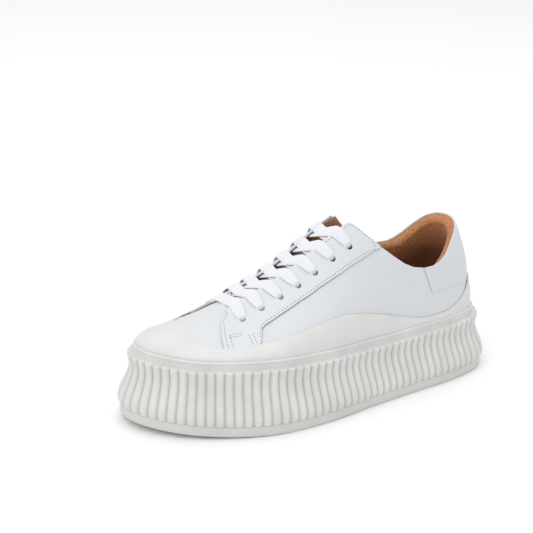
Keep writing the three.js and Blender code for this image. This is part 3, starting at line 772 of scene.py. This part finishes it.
cutters = hole_cutters()
p, q = np.meshgrid(eased(220), eased(60), indexing="ij")
for side, word in ((1, "outer"), (-1, "inner")):
    u, t = facing_places(p, q)
    stand = facing_raise(p, q) + dents(mirrored(u, side), t)
    rounded = pillow(p, 0.004) * pillow(q, 0.015)
    full = FACING["thick"] * (FACING["edge"] + (1 - FACING["edge"]) * rounded)
    place = mirrored(u, side)
    # the raw edge at the seam is dark, with a painted shadow line from its mark of 2.0, and the
    # folded one at the throat nearly white
    facing = sheet_piece(f"facing_{word}", lifted(place, t, stand + FACING["off"] + full),
                         lifted(place, t, stand + FACING["off"]), [white_leather],
                         dark=np.where(q < 0.5, 2.0, 0.35))
    punch(facing, cutters)
    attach(facing, "root")
    # the suede under the free front corner, its underside darkened as painted shade
    p_flap, q_flap = np.meshgrid(np.linspace(0.004, 0.26, 60), np.linspace(0.3, 0.985, 40),
                                 indexing="ij")
    u, t = facing_places(p_flap, q_flap)
    stand = facing_raise(p_flap, q_flap)
    place = mirrored(u, side)
    flap = sheet_piece(f"facing_lining_{word}", lifted(place, t, stand + 0.02),
                       lifted(place, t, stand - 0.02 - np.minimum(stand, 0.8)), [tan_suede])
    punch(flap, cutters)
    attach(flap, "root")
# a black tape behind the holes as painted shade inside them, under a strip of the suede: a guess,
# as neither layer shows
HOLE_SHADE_SHEET = {"half": 4.5, "thick": 0.4, "below": 2.6}
STAY_COVER = {"half": 5.6, "thick": 0.5, "below": 3.05}
hole_shade_black = thread_colour("hole_shade_black", (0.035, 0.035, 0.04), 0.9)
for strip, sizes, material, slot in (("hole_shade_sheet", HOLE_SHADE_SHEET, hole_shade_black, "lace_cotton"),
                                     ("stay_cover", STAY_COVER, tan_suede, "footbed")):
    half = sizes["half"]
    y, across = np.meshgrid(np.linspace(EYELET["rows"][0] - half, EYELET["rows"][-1] + half, 90),
                            np.linspace(-half, half, 9), indexing="ij")
    for side, word in ((1, "outer"), (-1, "inner")):
        place = side * (eyelet_reach(y) - across)
        tape = sheet_piece(f"{strip}_{word}", over_foot(y, place, -sizes["below"])[0],
                           over_foot(y, place, -sizes["below"] - sizes["thick"])[0], [material],
                           dark=0.0)
        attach(tape, "root")
punch(vamp, cutters)
punch(lining, cutters)
bpy.data.objects.remove(cutters)
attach(vamp, "root")
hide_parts("upper")


# ---------------------------------------------------------------- heel patch
# A heel patch of the same leather is laid over the back of the quarters, from the collar down to
# a row of stitches at half height. Its front edges are the two short seams below the collar, and
# its foot is skived thin.

# "skive" is the share of its height over which it thins out to its foot.
HEEL_PATCH = {"thick": 0.7, "from": 0.349, "low": 66.0, "lean": 0.012, "skive": 0.25, "off": 0.03}
heel_u = np.linspace(HEEL_PATCH["from"], 1 - HEEL_PATCH["from"], 260)
steps = np.linspace(0.02, 0.9, 400)
heights = on_last(heel_u[:, None], steps[None])[..., 2]
heel_low = np.array([np.interp(HEEL_PATCH["low"], h, steps) for h in heights])
heel_top = leather_edge(heel_u, THROAT)
p, q = np.meshgrid(eased(240), eased(60), indexing="ij")
lean = HEEL_PATCH["lean"] * (1 - q) * np.sign(0.5 - p) * np.clip(np.abs(p - 0.5) * 2, 0, 1) ** 4
u = HEEL_PATCH["from"] + (1 - 2 * HEEL_PATCH["from"]) * p + lean
t = np.interp(u, heel_u, heel_low) * (1 - q) + np.interp(u, heel_u, heel_top) * q
skived = 0.1 + 0.9 * np.minimum(q / HEEL_PATCH["skive"], 1)
full = HEEL_PATCH["thick"] * skived * (0.6 + 0.4 * pillow(p, 0.006))
stand = dents(u, t) + HEEL_PATCH["off"]
# the raw front edges are dark, the mark of 2.0 also painting the seams' shadow lines
front_seams = np.where(np.minimum(p, 1 - p) < 0.02, 2.0, 0.0)
patch = sheet_piece("heel_patch", lifted(u, t, stand + full), lifted(u, t, stand),
                    [white_leather], dark=front_seams)
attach(patch, "root")


# ---------------------------------------------------------------- rand
# The rand is a smooth rubber band bonded over the foot of the leather. It rises to a cap over the
# toes, runs high past the instep, dips at the waist and climbs again round the heel.

RAND_AT = [0, 0.06, 0.11, 0.146, 0.187, 0.221, 0.256, 0.285, 0.34, 0.42, 0.464, 0.486, 0.501,
           0.534, 0.576, 0.627, 0.683, 0.715, 0.763, 0.781, 0.805, 0.833, 0.86, 0.89, 0.92, 1]
RAND_T = [0.86, 0.84, 0.79, 0.71, 0.54, 0.365, 0.325, 0.333, 0.312, 0.285, 0.275, 0.26, 0.242,
          0.19, 0.14, 0.088, 0.038, 0.03, 0.03, 0.035, 0.055, 0.085, 0.14, 0.19, 0.215, 0.225]
# Thickness at its foot and edge, gap to the leather, and how far its foot lies below the bead top.
RAND_FOOT, RAND_EDGE, RAND_OFF, RAND_SUNK = 2.2, 1.0, 0.05, 0.5

rand_rubber = rubber("rand_rubber", (0.69, 0.68, 0.665), (0.60, 0.59, 0.57), 0.46, 900)
at = 2 * np.minimum(skin_u, 1 - skin_u)
climb = np.interp(at, RAND_AT, RAND_T)
kernel = np.exp(-(np.arange(-14, 15) / 6.0) ** 2)
looped = np.concatenate([climb[-14:], climb, climb[:14]])
climb = np.convolve(looped, kernel / kernel.sum(), "valid")
edge_lift = RAND_EDGE - 0.6 * np.clip((0.24 - at) / 0.10, 0, 1)
u, t, share = up_the_wall(34, climb)
thick = RAND_FOOT + (edge_lift[None] - RAND_FOOT) * share ** 1.5
bead_top = column("rib_top", skin_u) + BEAD_RISE - RAND_SUNK
foot = ring(skin_u, RAND_FOOT - CUP_INSET, bead_top)
toe = ring(skin_u, RAND_OFF - CUP_INSET, bead_top)
turn = rim(skin_u, climb, edge_lift, RAND_OFF + 0 * climb, 6)
band = np.array([foot] + list(lifted(u, t, thick)) + turn
                + list(lifted(u, t, RAND_OFF + 0 * t))[::-1] + [toe])
rand = build("rand_and_toe_cap", band, quads(*band.shape[:2], around=True, along=True),
             [rand_rubber], np.ones(band.shape[:2]), sharp=70)
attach(rand, "root")
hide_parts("rand")


# ---------------------------------------------------------------- tongue
# The tongue is white leather, lightly padded and backed with suede. It is sewn in ahead of the
# throat and lies loose under the lace; its free end sags into the shoe.

TONGUE = {"from": -84.0, "to": 22.0, "half_front": 17.0, "half_top": 25.0, "thick": 3.0,
          "below": 3.0, "droop_from": -12.0, "droop": 12.0, "dip": 3.6, "dip_half": 13.0}
y, across = np.meshgrid(np.linspace(TONGUE["from"], TONGUE["to"], 120), 2 * eased(61) - 1,
                        indexing="ij")
share = (y - TONGUE["from"]) / (TONGUE["to"] - TONGUE["from"])
half = TONGUE["half_front"] + (TONGUE["half_top"] - TONGUE["half_front"]) * share
sag = np.clip((y - TONGUE["droop_from"]) / (TONGUE["to"] - TONGUE["droop_from"]), 0, 1)
depth = TONGUE["below"] + TONGUE["droop"] * sag ** 2
swell = TONGUE["thick"] * (0.15 + 0.85 * pillow((across + 1) / 2, 0.12) * pillow(share, 0.03))
grid = -across * half
depth = depth + TONGUE["dip"] * np.maximum(1 - (grid / TONGUE["dip_half"]) ** 2, 0)
middle = depth + TONGUE["thick"] / 2
tongue = sheet_piece("tongue", over_foot(y, grid, swell / 2 - middle)[0],
                     over_foot(y, grid, -swell / 2 - middle)[0], [white_leather])
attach(tongue, "root")
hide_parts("tongue")


# ---------------------------------------------------------------- lace
# One flat woven cotton lace, 8 to 9 mm wide. It lies straight across the first pair of holes, then
# crosses six times; each run comes up beside one facing and goes down through the hole across.

LACE = {"width": 8.8, "thick": 1.3, "inner": 9.4, "sunk": -1.5, "edge": 9.7, "proud": 2.1,
        "step": 5.2, "first": 3.4, "over": 0.55, "into": -2.0, "neck": 0.55,
        "far": 1.2, "mouth": 1.9, "gather": 8.5}


def cotton(name, light, dark):
    """Flat braid: two sets of slanting threads as bands on the lace's own UV in millimetres."""
    material, tree, shader = plain(name, {"Roughness": 0.85, "Specular IOR Level": 0.25,
                                          "Sheen Weight": 0.25})
    place = node(tree, "TexCoord", {}, "UV")
    threads = {}
    for number, turn in enumerate((0.62, -0.62)):
        slant = node(tree, "Mapping", {"Vector": place, "Rotation": (0, 0, turn)}, "Vector")
        threads[number] = node(tree, "TexWave", {"Vector": slant, "Scale": 0.36,
                                                 "Distortion": 0.6, "Detail Scale": 2}, "Fac")
    weave = node(tree, "Math", threads, "Value", operation="MAXIMUM")
    fill(tree, shader, {"Base Color": blended(tree, weave, dark, light),
                        "Normal": bumped(tree, weave, 0.5, 0.0002)})
    return material


white_cotton = cotton("white_cotton", (0.80, 0.805, 0.84), (0.66, 0.665, 0.70))


def lace_run(path, out, width):
    """Flat lace along a path: at each step a flattened oval of the lace's width and thickness
    stands square to the path. Returns the grid of points and their places in millimetres."""
    along = unit(np.gradient(path, axis=0))
    side = unit(np.cross(along, out))
    up = np.cross(side, along)
    angle = np.linspace(0, 2 * np.pi, 20, endpoint=False)
    across = np.sign(np.cos(angle)) * np.abs(np.cos(angle)) ** 0.55
    height = np.sign(np.sin(angle)) * np.abs(np.sin(angle)) ** 0.75
    cup = -0.25 * (across ** 2)
    points = (path[:, None] + side[:, None] * (across[None] * width[:, None] / 2)[..., None]
              + up[:, None] * ((height[None] * 0.5 + cup[None] * 0.5) * LACE["thick"])[..., None])
    gone = gone_along(path)
    places = np.stack(np.broadcast_arrays(gone[:, None], (across * LACE["width"] / 2)[None]), -1)
    return points, places


def pulled_taut(path, soft):
    """The path with its middle smoothed by a bell of soft steps; its two ends stay in place."""
    reach = int(3 * soft)
    bell = np.exp(-(np.arange(-reach, reach + 1) / soft) ** 2)
    held = np.concatenate([2 * path[0] - path[reach:0:-1], path,
                           2 * path[-1] - path[-2:-reach - 2:-1]])
    return np.stack([np.convolve(held[:, k], bell / bell.sum(), "valid") for k in range(3)], -1)


def lace_piece(name, runs):
    """One mesh of several runs, each closed at its two ends."""
    points, places, faces, start = [], [], [], 0
    for grid, place in runs:
        rows, columns = grid.shape[:2]
        points.append(grid.reshape(-1, 3))
        places.append(place.reshape(-1, 2))
        faces += (quads(rows, columns, around=True) + start).tolist()
        faces += [[start + k for k in range(columns)],
                  [start + (rows - 1) * columns + k for k in range(columns)]]
        start += rows * columns
    return build(name, np.vstack(points), faces, [white_cotton], sharp=60,
                 places=np.vstack(places))


def taut_over_throat(path, out, across):
    """Between the last step on one facing and the first on the other the lace runs straight."""
    throat = np.flatnonzero(np.abs(across) < LACE["edge"])
    first, last = max(throat[0] - 1, 0), throat[-1] + 1
    share = ((across[first:last + 1] - across[first]) / (across[last] - across[first]))[:, None]
    path[first:last + 1] = path[first] + (path[last] - path[first]) * share
    out[first:last + 1] = unit(out[first] + (out[last] - out[first]) * share)
    bump = np.zeros(len(path))
    bump[first:last + 1] = np.sin(np.pi * share[:, 0])
    return path, out, bump


def hole_end(gap):
    """Height above the leather, from the distance still to go to the hole's middle."""
    over = np.clip(gap / LACE["mouth"], 0, 1) ** 0.55
    return LACE["into"] + (LACE["proud"] - LACE["into"]) * over


def run_of_lace(path, out, gap):
    """One run pulled taut, its width gathered towards the hole."""
    width = LACE["neck"] + (1 - LACE["neck"]) * np.clip(gap / LACE["gather"], 0, 1) ** 0.6
    return lace_run(pulled_taut(path, 2), unit(pulled_taut(out, 6)), LACE["width"] * width)


ease = np.linspace(0, 1, 80)
# the straight first bar: it goes down a hole at both ends
across = EYELET["reach"] * np.cos(np.pi * ease)
gap = EYELET["reach"] - np.abs(across)
path, out = over_foot(EYELET["rows"][0] + 0 * across, across, hole_end(gap))
path, out, _ = taut_over_throat(path, out, across)
bar = lace_piece("lace_bar_cotton", [run_of_lace(path, out, gap)])
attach(bar, "root")
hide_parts("lace_bar")

for row in range(len(EYELET["rows"]) - 1):
    runs = []
    for side in (1, -1):
        start_y = EYELET["rows"][row] + LACE["step"] + (LACE["first"] if row == 0 else 0)
        end_y = EYELET["rows"][row + 1]
        steps = np.sin(np.pi / 2 * ease)
        across = side * (LACE["inner"] - (eyelet_reach(end_y) + LACE["inner"]) * steps)
        gap = eyelet_reach(end_y) + side * across
        rise = LACE["far"] * (side > 0) * np.clip(gap / LACE["width"], 0, 1)
        lift = np.where(side * across > -LACE["edge"], LACE["sunk"], hole_end(gap) + rise)
        path, out = over_foot(start_y + (end_y - start_y) * steps, across, lift)
        path, out, bump = taut_over_throat(path, out, across)
        path = path - out * (side * LACE["over"] * bump)[:, None]
        runs.append(run_of_lace(path, out, gap))
    crossing = lace_piece(f"lace_crossing_{row + 1}", runs)
    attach(crossing, "root")
    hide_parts(f"lace_cross_{row + 1}")


# ---------------------------------------------------------------- stitches
# White thread holds the panels. A stitch is a short raised bead of thread between two needle
# holes, about ten to the inch, and the holes are dark points of painted shade in the leather.

STITCH = {"pitch": 2.3, "long": 1.35, "thick": 0.45, "hole": 0.38}
# A stitch's outline: place along it and half thickness, as shares of its length and thickness.
BEAD = np.array([(-0.5, 0.25), (-0.3, 0.85), (0, 1), (0.3, 0.85), (0.5, 0.25)])
# Rows on a facing, each straight in its own (p, q): p from, p to, q from, q to.
FACING_ROWS = [
    (0.20, 0.965, 0.07, 0.07), (0.965, 0.965, 0.07, 0.90), (0.965, 0.745, 0.90, 0.90),
    (0.023, 0.023, 0.02, 0.92), (0.05, 0.05, 0.02, 0.38), (0.035, 0.12, 0.36, 0.36),
    (0.035, 0.12, 0.42, 0.42), (0.155, 0.155, 0.02, 0.32), (0.178, 0.178, 0.02, 0.32),
]
# The row along the foot of the heel patch: where it starts, and how far it stands up and off.
HEEL_ROW = {"from": 0.368, "up": 0.012, "lift": 0.75}

white_thread = thread_colour("white_thread", (0.72, 0.73, 0.75), 0.7)
# painted shade for the needle holes
needle_hole_shade = thread_colour("needle_hole_shade", (0.12, 0.12, 0.125), 0.9)


def evenly(u, t, lift):
    """Places at equal steps along a line on the leather, with its direction and outward one."""
    path = lifted(u, t, lift)
    gone = gone_along(path)
    at = np.arange(STITCH["pitch"] / 2, gone[-1], STITCH["pitch"])

    def along(s):
        return np.stack([np.interp(s, gone, path[:, k]) for k in range(3)], -1)

    out = facing_out(np.interp(at, gone, u), np.interp(at, gone, t))
    return along(at), unit(along(at + 0.2) - along(at - 0.2)), out


def stitch_rows(name, rows):
    """Every stitch as one mesh: five six-sided rings along a bead, place + ahead x + (side cos a
    + out sin a) r, with x and r from BEAD."""
    place, ahead, out = (np.vstack(part)[:, None, None] for part in zip(*rows))
    side = np.cross(out, ahead)
    x, r = BEAD[:, 0, None, None] * STITCH["long"], BEAD[:, 1, None, None] * STITCH["thick"] / 2
    a = np.linspace(0, 2 * np.pi, 6, endpoint=False)[None, :, None]
    points = place + ahead * x + side * (np.cos(a) * r) + out * (np.sin(a) * r)
    start = 30 * np.arange(len(points))[:, None, None]
    ends = np.array([range(6), range(24, 30)])
    faces = ((quads(5, 6, around=True) + start).reshape(-1, 4).tolist()
             + (ends + start).reshape(-1, 6).tolist())
    return build(name, points, faces, [white_thread], sharp=80)


def needle_holes(name, rows):
    """A dark dimple of painted shade between each two stitches: a ring of eight points, centre +
    (ahead cos a + side sin a) r, closed by a point below and one above."""
    place, ahead, out = (np.vstack(part)[:, None] for part in zip(*rows))
    centre = place + ahead * STITCH["pitch"] / 2
    side = np.cross(out, ahead)
    a = np.linspace(0, 2 * np.pi, 8, endpoint=False)[None, :, None]
    circle = centre + (np.cos(a) * ahead + np.sin(a) * side) * STITCH["hole"] - 0.02 * out
    points = np.concatenate([centre - 0.25 * out, circle, centre + 0.05 * out], 1)
    corner = 1 + np.arange(8)
    following = 1 + (np.arange(8) + 1) % 8
    fans = np.vstack([np.stack([0 * corner, following, corner], -1),
                      np.stack([0 * corner + 9, corner, following], -1)])
    faces = (fans + 10 * np.arange(len(points))[:, None, None]).reshape(-1, 3)
    return build(name, points, faces, [needle_hole_shade], sharp=80)


def facing_line(p, q, side, lift):
    u, t = facing_places(p, q)
    return evenly(mirrored(u, side), t, lift + facing_raise(p, q) + dents(mirrored(u, side), t))


rows = []
on_top = FACING["thick"] + 0.06
line = np.linspace(0, 1, 160)
for side in (1, -1):
    for p_from, p_to, q_from, q_to in FACING_ROWS:
        rows.append(facing_line(p_from + (p_to - p_from) * line, q_from + (q_to - q_from) * line,
                                side, on_top))
line = np.linspace(HEEL_ROW["from"], 1 - HEEL_ROW["from"], 200)
patch_foot = np.interp(line, heel_u, heel_low)
rows.append(evenly(line, patch_foot + HEEL_ROW["up"], dents(line, patch_foot) + HEEL_ROW["lift"]))
stitches = stitch_rows("stitches", rows)
holes = needle_holes("needle_holes", rows[:-1])
for piece in (stitches, holes):
    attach(piece, "root")


# ---------------------------------------------------------------- floor, light and camera
# The shoe stands on a plain white sweep under large soft lights. The camera looks at its outer
# side from the front quarter, a little above it.

floor_white = plain("floor_white", {"Base Color": (0.93, 0.93, 0.93, 1), "Roughness": 0.9,
                                    "Specular IOR Level": 0.1})[0]
FLOOR = 3.0
floor_mesh = bpy.data.meshes.new("floor")
floor_mesh.from_pydata([(x * FLOOR, y * FLOOR, 0) for x, y in ((-1, -1), (1, -1), (1, 1), (-1, 1))],
                       [], [(0, 1, 2, 3)])
floor_mesh.materials.append(floor_white)
floor = bpy.data.objects.new("floor", floor_mesh)
bpy.context.scene.collection.objects.link(floor)

world = bpy.data.worlds.new("studio")
world.use_nodes = True
world.node_tree.nodes["Background"].inputs["Color"].default_value = (0.97, 0.985, 1.0, 1)
world.node_tree.nodes["Background"].inputs["Strength"].default_value = 0.86
bpy.context.scene.world = world


def placed(thing, place, right, up, back):
    """Links a lamp or camera that looks along -back, with its upper side towards up."""
    turned = np.stack([right, up, back], 1).tolist()
    thing.matrix_world = Matrix([[*row, at] for row, at in zip(turned, place)] + [[0, 0, 0, 1]])
    bpy.context.scene.collection.objects.link(thing)


def soft_light(name, place, size, power, colour):
    """Large square lamp that looks at the middle of the shoe."""
    lamp = bpy.data.lights.new(name, "AREA")
    lamp.size, lamp.energy, lamp.color = size, power, colour
    back = unit(np.array(place) - [0, 0, 0.05])
    right = unit(np.cross([0, 0, 1], back))
    placed(bpy.data.objects.new(name, lamp), place, right, np.cross(back, right), back)


soft_light("key_above_toe", (0.5, -1.1, 1.5), 1.4, 8, (1.0, 0.99, 0.97))
soft_light("top", (-0.3, 0.2, 1.8), 1.6, 9, (1.0, 1.0, 1.0))

# View directions of the camera: to the right, up the picture, and back towards the camera.
VIEW = {"azimuth": 59.5, "elevation": 21.05, "roll": 1.24, "place": (775.30, -492.05, 442.65),
        "lens": 94.76}
turn, rise, roll = (math.radians(VIEW[k]) for k in ("azimuth", "elevation", "roll"))
back = np.array([math.sin(turn) * math.cos(rise), -math.cos(turn) * math.cos(rise),
                 math.sin(rise)])
level = np.array([math.cos(turn), math.sin(turn), 0])
upright = np.cross(back, level)
right = math.cos(roll) * level + math.sin(roll) * upright
up = -math.sin(roll) * level + math.cos(roll) * upright
camera = bpy.data.objects.new("camera", bpy.data.cameras.new("camera"))
camera.data.lens = VIEW["lens"]
camera.data.clip_start, camera.data.clip_end = 0.05, 20
place = (np.array(VIEW["place"]) + SHIFT) * MM
placed(camera, place.tolist(), right, up, back)
bpy.context.scene.camera = camera
bpy.context.scene.view_settings.view_transform = "Standard"
